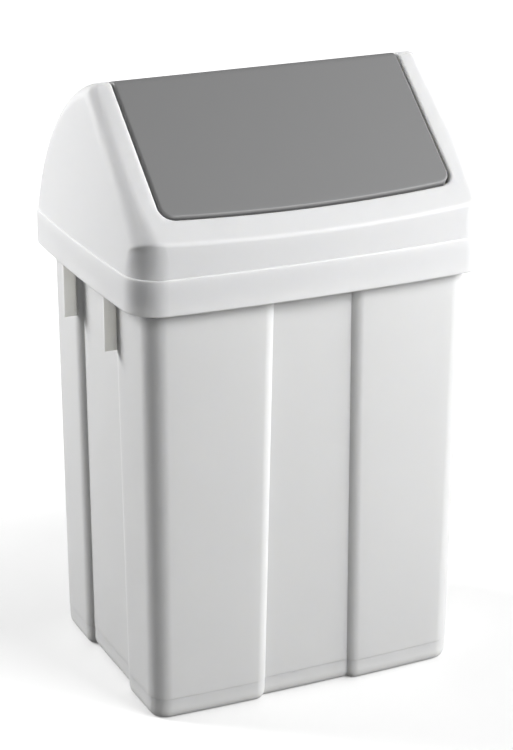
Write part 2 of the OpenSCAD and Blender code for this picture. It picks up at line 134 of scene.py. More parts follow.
class Skin:
    """Collects grids of points and makes one closed, smooth mesh object of them."""

    SHARP = 38.0
    FAN = 8

    def __init__(self, name: str) -> None:
        """Starts an empty skin.

        Args:
            name: Name of the object that it becomes.
        """
        self.name = name
        self.points: list[Array] = []
        self.faces: list[Array] = []
        self.count = 0

    def grid(self, points: Array, keep: Array | None = None, around: bool = False) -> None:
        """Adds a grid of points joined by four-sided faces.

        Args:
            points: Rows by columns by xyz, in millimetres.
            keep: Rows - 1 by columns - 1 truth values; a false one leaves a hole.
            around: Joins the last column to the first.
        """
        rows, cols = points.shape[:2]
        index = np.arange(rows * cols).reshape(rows, cols) + self.count
        if around:
            index = np.concatenate([index, index[:, :1]], axis=1)
        quads = np.stack(
            [index[:-1, :-1], index[:-1, 1:], index[1:, 1:], index[1:, :-1]], axis=-1
        )
        quads = quads.reshape(-1, 4) if keep is None else quads[keep]
        self.points.append(points.reshape(-1, 3))
        self.faces.append(quads)
        self.count += rows * cols

    def fan(self, ring: Array) -> None:
        """Closes a ring of points with rings that shrink to its middle."""
        middle = ring.mean(axis=0)
        self.grid(mix(ring[None], middle[None, None], shares(self.FAN)[:, None, None]), around=True)

    def build(self) -> bpy.types.Object:
        """Welds the grids, turns the faces outwards and links the object.

        Returns:
            The finished object, at the origin.
        """
        mesh = bpy.data.meshes.new(self.name)
        points = np.concatenate(self.points) * MM
        mesh.from_pydata(points.tolist(), [], np.concatenate(self.faces).tolist())
        shape = bmesh.new()
        shape.from_mesh(mesh)
        bmesh.ops.remove_doubles(shape, verts=shape.verts, dist=WELD)
        bmesh.ops.dissolve_degenerate(shape, edges=shape.edges, dist=WELD)
        loose = [v for v in shape.verts if not v.link_faces]
        bmesh.ops.delete(shape, geom=loose, context="VERTS")
        bmesh.ops.recalc_face_normals(shape, faces=shape.faces)
        open_edges = sum(1 for e in shape.edges if len(e.link_faces) != 2)
        made = finish(mesh, shape, self.SHARP)
        LOG.info("%s: %d faces, %d open edges", self.name, len(mesh.polygons), open_edges)
        return made


def lathe(name: str, profile: Sequence[tuple], centre: tuple, side: float,
          count: int = 72) -> bpy.types.Object:
    """Turns a profile about an axis that runs along X.

    Args:
        name: Name of the object.
        profile: Points (x, radius), closed by joining the last to the first.
        centre: The axis, as (y, z).
        side: 1 for the right-hand piece, -1 for its mirror image.
        count: Points around the axis.

    Returns:
        The object.
    """
    line = np.array(profile, float)
    turn = np.radians(np.linspace(0, 360, count, endpoint=False))
    x = np.repeat(line[:, :1] * side, count, axis=1)
    y = centre[0] + line[:, 1:] * np.cos(turn)
    z = centre[1] + line[:, 1:] * np.sin(turn)
    points = np.stack([x, y, z], axis=-1)
    skin = Skin(name)
    skin.grid(np.concatenate([points, points[:1]]), around=True)
    return skin.build()


def plate(name: str, outlines: Sequence[tuple], soft: float,
          sharp: float = 50.0) -> bpy.types.Object:
    """Makes flat ribs of even thickness with softened edges, as one object.

    Args:
        name: Name of the object.
        outlines: One (corners, thickness) for each rib: its four corners as xyz,
            and the vector from one face to the other.
        soft: Radius of the softened edges, in millimetres.
        sharp: Angle between faces, in degrees, above which an edge is crisp.

    Returns:
        The object.
    """
    shape = bmesh.new()
    for corners, thick in outlines:
        near = [shape.verts.new(np.asarray(c) * MM) for c in corners]
        far = [shape.verts.new((np.asarray(c) + np.asarray(thick)) * MM) for c in corners]
        shape.faces.new(near)
        shape.faces.new(far[::-1])
        for i in range(len(near)):
            j = (i + 1) % len(near)
            shape.faces.new([near[i], far[i], far[j], near[j]])
    bmesh.ops.recalc_face_normals(shape, faces=shape.faces)
    bmesh.ops.bevel(
        shape, geom=shape.edges[:], offset=soft * MM, segments=3, profile=0.5,
        affect="EDGES", clamp_overlap=True,
    )
    return finish(bpy.data.meshes.new(name), shape, sharp)


# ---------------------------------------------------------------- hood
class Level(Enum):
    """The bands that the hood's front rises through, from the skirt to the ridge."""

    BAND = 1
    RISER = 2
    CREASE = 3
    SLOPE = 4
    RIDGE = 5


@dataclass
class Station:
    """One ring of the hood.

    value is a height on a BAND and a share of the way on the other levels, inset
    draws the ring in, rear is the share of the way up the back, and below_hole is
    the share of the way up to the hole, or -1 on a ring that isn't under it.
    """

    level: Level
    value: float
    inset: float
    rear: float
    r_front: float
    r_rear: float
    below_hole: float = -1.0


@dataclass
class Hood:
    """The lift-off hood: skirt, upright front, slope, cheeks, ridge and curved back."""

    width: float = 340.0
    depth: float = 270.0
    bow_front: float = 6.8
    bow_side: float = 4.2
    skirt_r: float = 27.0
    skirt_z: float = 381.0
    skirt_h: float = 31.5
    ledge: float = 1.2
    ledge_soft: float = 0.6
    front_h: float = 26.0
    crease_r: float = 6.0
    slope: float = 40.0
    still: float = 60.0
    back_r: float = 167.5
    back_up: float = 4.0
    ridge_r: float = 9.0
    least_r: float = 2.5
    edge_r: float = 12.0
    lean: float = 0.079
    fade: float = 1.5
    wall: float = 2.4
    side_gap: float = 2.8
    rail: float = 33.2
    front_gap: float = 3.2
    lid_up: float = 26.2
    lid_over: float = 79.7
    level_over: float = 6.0
    lid_corner: float = 12.0
    rim_depth: float = 12.0
    rim_t: float = 2.0
    rim_ease: float = 0.1
    rear_gap: float = 1.5
    pivot_down: float = 30.7
    pivot_deep: float = 8.5
    soft: float = 2.4
    lip: float = 1.2
    search: float = 4.0

    # rings outside and inside the skirt, as (inset, height over its lower edge), and
    # at the ledge, as (inset, height over the ledge)
    SKIRT = ((0.9, 0.0), (0.35, 0.2), (0.08, 0.6), (0.0, 1.2), (0.0, 11.0), (0.0, 21.0))
    LEDGE = ((0.0, -1.1), (0.08, -0.6), (0.3, -0.2), (0.6, -0.05), (0.95, 0.0),
             (1.13, 0.1), (1.2, 0.35))
    LINING = ((-0.9, 0.0), (-0.3, 0.25), (0.0, 0.9), (0.0, 14.0))
    # how far the corners have narrowed from the skirt's radius to the cheek's edge,
    # at the start and at the end of the crease
    NARROW = (0.25, 0.49)
    # steps of the grids
    ARC = 10
    SIDE = 22
    OVER = 8
    BACK = 14
    MID = 14
    RISER = 6
    CREASE = 8
    BELOW = 8
    CHEEK = 22
    CORNER = 14
    OUTER = 3
    EDGE = 6
    TRIES = 400

    def __post_init__(self) -> None:
        """Works out the sizes that follow from the named ones."""
        self.half_x = self.width / 2 - self.bow_side
        self.half_y = self.depth / 2 - self.bow_front
        self.upper_y = self.half_y - self.ledge
        self.ledge_z = self.skirt_z + self.skirt_h
        crease_z = self.ledge_z + self.front_h
        self.crease = np.array([-(self.upper_y + self.bow_front), crease_z])
        turn = math.radians(self.slope)
        self.along = np.array([math.cos(turn), math.sin(turn)])
        self.out = np.array([-math.sin(turn), math.cos(turn)])
        self.lift = math.tan(turn) - 1 / math.cos(turn)
        self.back_z = self.skirt_z + self.back_up
        reach = math.sqrt(self.back_r**2 - (self.ledge_z - self.back_z) ** 2)
        self.back_c = np.array([self.upper_y - reach, self.back_z])
        self.slope_off = float((self.crease - self.back_c) @ self.out)
        self.normal_a = 90 + self.slope
        self.ridge_s = float((self.ridge_centre(0.0) - self.crease) @ self.along)
        self.opening_x = self.width / 2 - self.rail
        self.lid_x = self.opening_x - self.side_gap
        run = float((self.ridge_centre(0.0) - self.back_c) @ self.along)
        self.pivot = (
            self.back_c
            + self.out * (self.slope_off - self.pivot_deep)
            + self.along * (run - self.pivot_down)
        )
        self.lid_end = float(self.rear_angle(0.0) - np.degrees(self.lid_over / self.back_r))
        self.edge_bow = self.bow_front / math.cos(turn) * (self.lid_x / self.half_x) ** 2
        end = self.back_c + np.array(polar(self.back_r, self.lid_end))
        self.swing_r = float(np.linalg.norm(end - self.pivot)) + self.rear_gap
        tries = np.linspace(self.lid_end, self.lid_end - self.search, self.TRIES)
        spots = self.back_c + np.stack(polar(self.back_r, tries), axis=-1)
        away = np.linalg.norm(spots - self.pivot, axis=1)
        self.hole_end = float(np.interp(self.swing_r, away, tries))

    # the profile of slope, ridge and back, drawn in by a depth
    def left(self, r: float, d: Value) -> Array:
        """Radius that is left of a rounding r at depth d."""
        return np.maximum(r - np.asarray(d, float), self.least_r)

    def ridge_centre(self, d: Value) -> Array:
        """Finds the centre of the ridge rounding, which touches the slope and the back.

        Args:
            d: Depth under the surface.

        Returns:
            y and z on the last axis.
        """
        d = np.asarray(d, float)
        r = self.left(self.ridge_r, d)
        high = self.slope_off - d - r
        far = np.sqrt((self.back_r - d - r) ** 2 - high**2)
        return self.back_c + self.out * high[..., None] + self.along * far[..., None]

    def rear_angle(self, d: Value) -> Array:
        """Angle about the back's centre where the back runs into the ridge, in degrees."""
        away = self.ridge_centre(d) - self.back_c
        return np.degrees(np.arctan2(away[..., 1], away[..., 0]))

    def ridge_point(self, share: Value, d: Value) -> tuple:
        """Finds a point on the ridge rounding.

        Args:
            share: Share of the way from the slope (0) to the back (1).
            d: Depth under the surface.

        Returns:
            y and z.
        """
        centre = self.ridge_centre(d)
        angle = mix(self.normal_a, self.rear_angle(d), share)
        y, z = polar(self.left(self.ridge_r, d), angle)
        return centre[..., 0] + y, centre[..., 1] + z

    def ridge_start(self, d: Value) -> Array:
        """Distance up the slope at which the ridge rounding starts, at depth d."""
        return (self.ridge_centre(d) - self.crease) @ self.along

    def climb(self, s: Value, d: Value) -> Array:
        """Distance up the slope at depth d that belongs to distance s on the surface.

        The lower part keeps its distance; the upper part shortens with the ridge.

        Args:
            s: Distance up the slope on the surface.
            d: Depth under the surface.

        Returns:
            The distance at that depth.
        """
        spare = np.maximum(0, s - self.still) / (self.ridge_s - self.still)
        return s - spare * (self.ridge_s - self.ridge_start(d))

    def crown(self, part: str, value: Value, d: Value, end: float) -> tuple:
        """Finds a point of the crown that the opening and the lid lie in.

        Args:
            part: "slope", "ridge" or "back".
            value: Distance up the slope, or share of the ridge or of the back.
            d: Depth under the surface.
            end: Angle at which the back part ends, in degrees.

        Returns:
            y and z.
        """
        d = np.asarray(d, float) + 0.0 * np.asarray(value, float)
        if part == "slope":
            s = self.climb(value, d)
            flat = self.crease + s[..., None] * self.along - d[..., None] * self.out
            return flat[..., 0], flat[..., 1]
        if part == "ridge":
            return self.ridge_point(value, d)
        y, z = polar(self.back_r - d, mix(self.rear_angle(d), end, value))
        return self.back_c[0] + y, self.back_c[1] + z

    def spot(self, part: str, x: Value, value: Value, d: float, end: float) -> Array:
        """Returns the points of crown() at x, as xyz."""
        y, z = self.crown(part, np.asarray(value, float), d, end)
        return np.stack(np.broadcast_arrays(x, y, z), axis=-1)

    def bow(self, x: Value) -> Value:
        """How far the front and back stand out at x: a parabola, nothing at the corners."""
        return self.bow_front * (1 - (x / self.half_x) ** 2)

    def cheek(self, y: Value, z: Value, station: Station) -> Value:
        """Finds the half width: bowed from front to back, and leaning in with height.

        Args:
            y: Distance from the middle, front to back.
            z: Height.
            station: The ring that the point is on.

        Returns:
            The half width.
        """
        upper = station.level != Level.BAND
        bowed = self.half_x + self.bow_side * (1 - (y / self.half_y) ** 2)
        return bowed - station.inset - (self.lean * (z - self.ledge_z) if upper else 0)

    def crease_at(self, x: Value) -> tuple:
        """The crease at x, as y and z. It slides up the slope's plane where it bows less."""
        y = -(self.upper_y + self.bow(x))
        return y, self.crease[1] + (y - self.crease[0]) * math.tan(math.radians(self.slope))

    def slope_start(self, x: Value, d: Value) -> Value:
        """Finds where the crease rounding ends, at x and depth d.

        Args:
            x: Distance from the middle.
            d: Depth under the surface.

        Returns:
            The distance up the slope.
        """
        y, z = self.crease_at(x)
        at_x = (y - self.crease[0]) * self.along[0] + (z - self.crease[1]) * self.along[1]
        deep = d + self.left(self.crease_r, d)
        return at_x + deep * (self.along[0] + self.lift * self.along[1])

    def above_ledge(self, w: float) -> float:
        """Height at which the walls above the ledge start, in a skin drawn in by w."""
        return self.ledge_z + (self.ledge_soft if w == 0 else -w)

    def front_point(self, st: Station, x: Value, w: float, d: Value) -> tuple:
        """Finds a point on the front.

        Args:
            st: The ring that it is on.
            x: Distance from the middle.
            w: How far the skin is drawn in, which sets where its hole lies.
            d: Depth of the point under the surface.

        Returns:
            y and z.
        """
        x, d = np.asarray(x, float), np.asarray(d, float) + 0.0 * np.asarray(x, float)
        if st.level == Level.BAND:
            return -(self.half_y - st.inset + self.bow(x)) + d, st.value + 0.0 * d
        if st.level == Level.RIDGE:
            return self.ridge_point(st.value, d)
        y, z = self.crease_at(x)
        r = self.left(self.crease_r, d)
        mid_y, mid_z = y + d + r, z + (d + r) * self.lift
        if st.level == Level.RISER:
            return y + d, mix(self.above_ledge(w), mid_z, st.value)
        if st.level == Level.CREASE:
            dy, dz = polar(r, mix(180, self.normal_a, st.value))
            return mid_y + dy, mid_z + dz
        start, top = self.slope_start(x, d), self.ridge_start(d)
        share = st.value + 0.0 * x
        if st.below_hole >= 0:
            edge = self.hole_x(w)
            inside = np.minimum(np.abs(x), edge)
            first = self.slope_start(inside, w)
            last = self.hole_low(np.minimum(inside, edge - self.hole_r(w)), w)
            share = st.below_hole * (last - first) / (self.ridge_start(w) - first)
        s = mix(start, top, share)
        return (
            self.crease[0] + self.along[0] * s - self.out[0] * d,
            self.crease[1] + self.along[1] * s - self.out[1] * d,
        )

    def back_point(self, st: Station, x: Value, w: float, d: Value) -> tuple:
        """Finds a point on the curved back.

        Args:
            st: The ring that it is on.
            x: Distance from the middle.
            w: How far the skin is drawn in.
            d: Depth of the point under the surface.

        Returns:
            y and z.
        """
        x, d = np.asarray(x, float), np.asarray(d, float) + 0.0 * np.asarray(x, float)
        if st.level == Level.BAND:
            return self.half_y - st.inset + self.bow(x) - d, st.value + 0.0 * d
        if st.level == Level.RIDGE:
            return self.ridge_point(1 - st.value, d)
        angle = mix(self.rear_low(w, d), self.rear_angle(d), st.rear)
        y, z = polar(self.back_r - d, angle)
        return self.back_c[0] + y + self.bow(x) * self.rear_share(angle), self.back_c[1] + z

    def rear_low(self, w: float, d: Value) -> Value:
        """Angle at which the curved back starts above the ledge."""
        return np.degrees(np.arcsin((self.above_ledge(w) - self.back_z) / (self.back_r - d)))

    def rear_share(self, angle: Value) -> Value:
        """Finds the share of the bow that the back has: none behind the lid.

        Args:
            angle: Angle about the back's centre, in degrees.

        Returns:
            A share that is 1 at the ledge and fades to 0 under the lid's rear edge.
        """
        end = math.cos(math.radians(self.lid_end) - self.level_over / self.back_r)
        low = math.cos(math.asin((self.ledge_z - self.back_z) / self.back_r))
        rise = np.maximum(0, np.cos(np.radians(angle)) - end) / (low - end)
        return rise**self.fade

    # the hole for the lid, in a skin drawn in by w
    def offset(self, w: float) -> float:
        """How far the hole in a skin lies outside the opening's line."""
        return self.soft - self.lip if w == 0 else self.rim_t

    def hole_x(self, w: float) -> float:
        """Half width of the hole."""
        return self.opening_x + self.offset(w)

    def hole_r(self, w: float) -> float:
        """Corner radius of the hole."""
        return self.lid_corner + self.side_gap + self.offset(w)

    def hole_low(self, x: Value, w: float) -> Value:
        """Lower edge of the hole at x, as a distance up the slope."""
        return self.low_line(x, self.offset(w))

    def low_line(self, x: Value, off: float) -> Value:
        """Lower edge of the opening, moved outwards by off: a parabola like the crease."""
        middle = self.lid_up - self.front_gap - off
        return middle + self.edge_bow * (x / (self.opening_x + off)) ** 2

    def opening_line(self, off: float) -> dict:
        """Works out half of the opening's outline, from the middle of its lower edge.

        Args:
            off: How far the outline is moved outwards.

        Returns:
            x with the value in the crown of each stretch: round the corner, up the
            side and over to the back edge; and the back edge's x and angle.
        """
        x, r = self.opening_x + off, self.lid_corner + self.side_gap + off
        low = float(self.low_line(x - r, off))
        across, up = polar(r, np.linspace(-90, 0, 2 * self.ARC + 1))
        bottom = np.linspace(0, x - r, self.MID + 1)
        return {
            "bottom": (bottom, self.low_line(bottom, off)),
            "arc": (x - r + across, low + r + up),
            "side": (x, mix(low + r, self.ridge_s, shares(self.SIDE))),
            "over": (x, shares(self.OVER * 2)),
            "back": (x, shares(self.BACK)),
            "rear": np.concatenate([np.linspace(x, x - r, self.ARC + 1), bottom[-2::-1]]),
            "end": self.hole_end - math.degrees(off / self.back_r),
        }

    def narrowed(self, level: Level, value: float) -> float:
        """Finds how far the front corners have narrowed from the skirt's radius.

        Args:
            level: The band of the front.
            value: Share of the way up that band.

        Returns:
            A share: 0 at the skirt's radius, 1 at that of the cheek's edge.
        """
        first, last = self.NARROW
        if level == Level.SLOPE:
            return last + (1 - last) * (1 - max(0.0, 1 - 2 * value) ** 2)
        if level == Level.CREASE:
            return mix(first, last, value)
        return first * max(0.0, 2 * value - 1)

    def bands(self, w: float) -> list[tuple]:
        """Lists the rings of the skirt.

        Args:
            w: How far the skin is drawn in.

        Returns:
            The rings as (inset, height).
        """
        if w == 0:
            low = [(e, self.skirt_z + z) for e, z in self.SKIRT]
            return low + [(e, self.ledge_z + z) for e, z in self.LEDGE]
        low = [(e, self.skirt_z + z) for e, z in self.LINING]
        soft, top = self.ledge_soft, self.ledge_z - w
        return low + [(0.0, top - soft), (soft, top)]

    def stations(self, w: float) -> list[Station]:
        """Lists the rings of a skin, from the skirt's edge to the ridge.

        Args:
            w: How far the skin is drawn in.

        Returns:
            The rings; hole_row and rear_row note where the hole starts in front
            and behind.
        """
        wide = self.skirt_r - self.ledge
        made = [
            Station(Level.BAND, z, e, 0, self.skirt_r - e, self.skirt_r - e)
            for e, z in self.bands(w)
        ]
        skirt = len(made)
        line = self.opening_line(self.offset(w))
        low = float(self.low_line(self.hole_x(w) - self.hole_r(w), self.offset(w)))
        start = float(self.slope_start(self.hole_x(w), w))
        top = float(self.ridge_start(w))
        first_rows = low + self.hole_r(w) * shares(self.ARC)
        rows = np.concatenate([first_rows, line["side"][1][1:]])
        way = (self.climb(rows, w) - start) / (top - start)
        upper = [(Level.RISER, v, -1.0) for v in shares(self.RISER)[:-1]]
        upper += [(Level.CREASE, v, -1.0) for v in shares(self.CREASE)[:-1]]
        upper += [(Level.SLOPE, way[0] * v, v) for v in shares(self.BELOW)[:-1]]
        self.hole_row = skirt + len(upper)
        upper += [(Level.SLOPE, v, 1.0 if i == 0 else -1.0) for i, v in enumerate(way)]
        low_a, high_a = float(self.rear_low(w, w)), float(self.rear_angle(w))
        at = (line["end"] - low_a) / (high_a - low_a)
        first = len(upper) - self.BACK - 1
        back_rows = np.linspace(at, 1, self.BACK + 1)
        rear = np.concatenate([np.linspace(0, at, first + 1)[:-1], back_rows])
        self.rear_row = skirt + first
        for (level, value, below_hole), back in zip(upper, rear):
            front_r = mix(wide, self.edge_r, self.narrowed(level, value))
            made.append(Station(level, float(value), self.ledge, float(back), front_r,
                                mix(wide, self.edge_r, back), below_hole))
        for share in shares(self.OVER * 2)[1 : self.OVER + 1]:
            made.append(Station(Level.RIDGE, share, self.ledge, 1, self.edge_r, self.edge_r))
        return made

    def half_row(self, st: Station, w: float, rear: bool) -> Array:
        """Works out half a row across the front or back, from the middle to the cheek.

        The middle stretch follows the front itself; the rounding carries the depth
        from w to w + r while x goes from the cheek less r out to the cheek.

        Args:
            st: The ring that the row is on.
            w: How far the skin is drawn in.
            rear: Takes the back, and not the front.

        Returns:
            Points by xyz.
        """
        r = (st.r_rear if rear else st.r_front) - w
        point = self.back_point if rear else self.front_point
        y, z = point(st, self.half_x - r - w, w, w)
        flat = float(self.cheek(y, z, st)) - w - r
        edge, corner = min(self.hole_x(w), flat - 1), self.hole_r(w)
        x = np.concatenate([
            np.linspace(0, edge - corner, self.MID + 1),
            np.linspace(edge - corner, edge, self.ARC + 1)[1:],
            np.linspace(edge, flat, self.OUTER + 1)[1:],
        ])
        y, z = point(st, x, w, w)
        middle = np.stack([x, y, z], axis=-1)
        across, down = polar(r, np.linspace(90, 0, self.CORNER + 1)[1:])
        depth, x_in = w + r - down, r - across
        y, z = point(st, self.half_x - w - x_in, w, depth)
        outer = np.stack([self.cheek(y, z, st) - w - x_in, y, z], axis=-1)
        return np.concatenate([middle, outer])

    def rings(self, w: float) -> tuple:
        """Works out all rings of a skin.

        Args:
            w: How far the skin is drawn in.

        Returns:
            Rings by points by xyz, and the truth grid of their faces, false in the hole.
        """
        made = []
        rows = self.stations(w)
        for st in rows:
            front, back = self.half_row(st, w, False), self.half_row(st, w, True)
            side = mix(front[-1], back[-1], shares(self.CHEEK + 1)[1:-1, None])
            side[:, 0] = self.cheek(side[:, 1], side[:, 2], st) - w
            made.append(np.concatenate([
                front[:0:-1] * FLIP, front, side, back[::-1], back[1:] * FLIP,
                side[::-1] * FLIP,
            ]))
        rings = np.stack(made)
        half = len(front)
        keep = np.ones((len(rows) - 1, rings.shape[1]), bool)
        inner = self.MID + self.ARC
        keep[self.hole_row :, half - 1 - inner : half - 1 + inner] = False
        mid_back = 2 * half - 1 + self.CHEEK + half - 1
        keep[self.rear_row :, mid_back - inner : mid_back + inner] = False
        return rings, keep

    def rim_ring(self, off: float, d: float, end_d: float) -> Array:
        """Works out the opening's outline as a closed ring.

        Args:
            off: How far it is moved outwards.
            d: Its depth under the surface.
            end_d: Its depth at the back edge.

        Returns:
            Points by xyz.
        """
        line = self.opening_line(off)
        end = line["end"]
        half = np.concatenate([
            self.spot("slope", line["bottom"][0], line["bottom"][1], d, end)[:-1],
            self.spot("slope", line["arc"][0], line["arc"][1], d, end),
            self.spot("slope", line["side"][0], line["side"][1][1:], d, end),
            self.spot("ridge", line["over"][0], line["over"][1][1:], d, end),
            self.spot("back", line["back"][0], line["back"][1][1:], d, end),
            self.spot("back", line["rear"], np.ones(len(line["rear"])), end_d, end),
        ])
        return np.concatenate([half, half[-2:0:-1] * FLIP])

    def corner_patch(self, skin: Skin, w: float) -> None:
        """Fills between the rounded lower corner of the hole and the grid's square one.

        Args:
            skin: The skin that the patch is added to.
            w: How far that skin is drawn in.
        """
        line = self.opening_line(self.offset(w))
        edge, r = self.hole_x(w), self.hole_r(w)
        low = float(self.low_line(edge - r, self.offset(w)))
        step = shares(self.ARC)
        x = np.concatenate([edge - r + r * step, np.full(self.ARC, edge)])
        s = np.concatenate([np.full(self.ARC + 1, low), low + r * step[1:]])
        for side in (1, -1):
            inner = self.spot("slope", line["arc"][0] * side, line["arc"][1], w, 0)
            outer = self.spot("slope", x * side, s, w, 0)
            skin.grid(np.stack([inner, outer]))

    def build(self) -> bpy.types.Object:
        """Makes the hood as one closed shell with its opening.

        Returns:
            The object.
        """
        skin = Skin("hood_shell")
        outer, keep = self.rings(0.0)
        skin.grid(outer, keep, around=True)
        inner, keep_in = self.rings(self.wall)
        skin.grid(inner, keep_in, around=True)
        skin.grid(np.stack([outer[0], inner[0]]), around=True)
        self.corner_patch(skin, 0.0)
        self.corner_patch(skin, self.wall)
        steps = edge_round(self.soft, self.EDGE, self.lip)
        steps += wall_end(-self.lip, self.rim_t, self.rim_depth, self.rim_ease)
        steps += [(self.rim_t, self.wall)]
        rings = [self.rim_ring(o, d, min(d, self.wall)) for o, d in steps]
        skin.grid(np.stack(rings), around=True)
        return skin.build()


# ---------------------------------------------------------------- swing lid
@dataclass
class SwingLid:
    """The flap: a plate on the slope that wraps over the ridge, with turned-in edges."""

    hood: Hood
    wall: float = 2.2
    edge: float = 11.0
    edge_ease: float = 0.15
    soft: float = 2.4
    cove: float = 1.2
    cove_mid: float = 0.35

    # steps of the grids
    ARC = 12
    SIDE = 20
    OVER = 14
    BACK = 14
    MID = 16
    BELOW = 6
    EDGE = 7

    def low_line(self, x: Value, off: float) -> Value:
        """Lower edge at x of the outline drawn in by off: a parabola, highest at the corners."""
        hood = self.hood
        return hood.lid_up + off + hood.edge_bow * (x / (hood.lid_x - off)) ** 2

    def corner(self, off: float) -> tuple:
        """Finds the rounding of the outline's lower right corner.

        Args:
            off: How far the outline is drawn in.

        Returns:
            Its centre, as x and distance up the slope, and its radius.
        """
        r = self.hood.lid_corner - off
        x = self.hood.lid_x - off - r
        return x, float(self.low_line(x, off)) + r, r

    def end(self, off: float) -> float:
        """Angle of the rear edge of the outline drawn in by off, in degrees."""
        return self.hood.lid_end + math.degrees(off / self.hood.back_r)

    def rise(self, start: float) -> list[tuple]:
        """Lists the stretches from the corner to the rear edge, as in crown().

        Args:
            start: Distance up the slope at which the corner ends.

        Returns:
            The part of the crown and the values in it, for each stretch.
        """
        slope = mix(start, self.hood.ridge_s, shares(self.SIDE))
        return [("slope", slope[1:]), ("ridge", shares(self.OVER)[1:]),
                ("back", shares(self.BACK)[1:])]

    def ring(self, off: float, d: float) -> Array:
        """Works out the outline as a closed loop.

        Args:
            off: How far it is drawn in.
            d: Its depth under the surface.

        Returns:
            Points by xyz.
        """
        spot, (cx, cs, r), end = self.hood.spot, self.corner(off), self.end(off)
        bottom = np.linspace(0, cx, self.MID + 1)
        across, up = polar(r, np.linspace(-90, 0, self.ARC + 1))
        rear = np.concatenate([cx + across[::-1], bottom[-2::-1]])[1:]
        half = np.concatenate([
            spot("slope", bottom, self.low_line(bottom, off), d, end)[:-1],
            spot("slope", cx + across, cs + up, d, end),
            *[spot(part, cx + r, value, d, end) for part, value in self.rise(cs)],
            spot("back", rear, 1.0, d, end),
        ])
        return np.concatenate([half, half[-2:0:-1] * FLIP])

    def sheet(self, skin: Skin, off: float, d: float) -> None:
        """Fills the outline: rows from side to side, and columns to the lower edge.

        Args:
            skin: The skin that the sheet is added to.
            off: How far the outline is drawn in.
            d: Its depth under the surface.
        """
        spot, (cx, cs, r), end = self.hood.spot, self.corner(off), self.end(off)
        across, up = polar(r, np.linspace(-90, 0, self.ARC + 1))
        x = np.concatenate([np.linspace(0, cx, self.MID + 1), cx + across[1:]])
        low = np.concatenate([self.low_line(x[: self.MID + 1], off), cs + up[1:]])
        x, low = np.concatenate([-x[:0:-1], x]), np.concatenate([low[:0:-1], low])
        below = shares(self.BELOW)[:, None]
        rows = [spot("slope", x[None] + 0 * below, mix(low[None], cs, below), d, end)]
        for part, value in self.rise(cs):
            rows.append(spot(part, x[None], value[:, None] + 0 * x, d, end))
        skin.grid(np.concatenate(rows))

    def build(self) -> bpy.types.Object:
        """Makes the lid as one closed shell.

        Returns:
            The object.
        """
        skin = Skin("lid_shell")
        inner = self.wall
        steps = edge_round(self.soft, self.EDGE)
        steps += wall_end(0.0, inner, self.edge, self.edge_ease)
        steps += [(inner, inner + self.cove), (inner + self.cove_mid, inner + self.cove_mid),
                  (inner + self.cove, inner)]
        self.sheet(skin, *steps[0])
        skin.grid(np.stack([self.ring(off, d) for off, d in steps]), around=True)
        self.sheet(skin, *steps[-1])
        return skin.build()


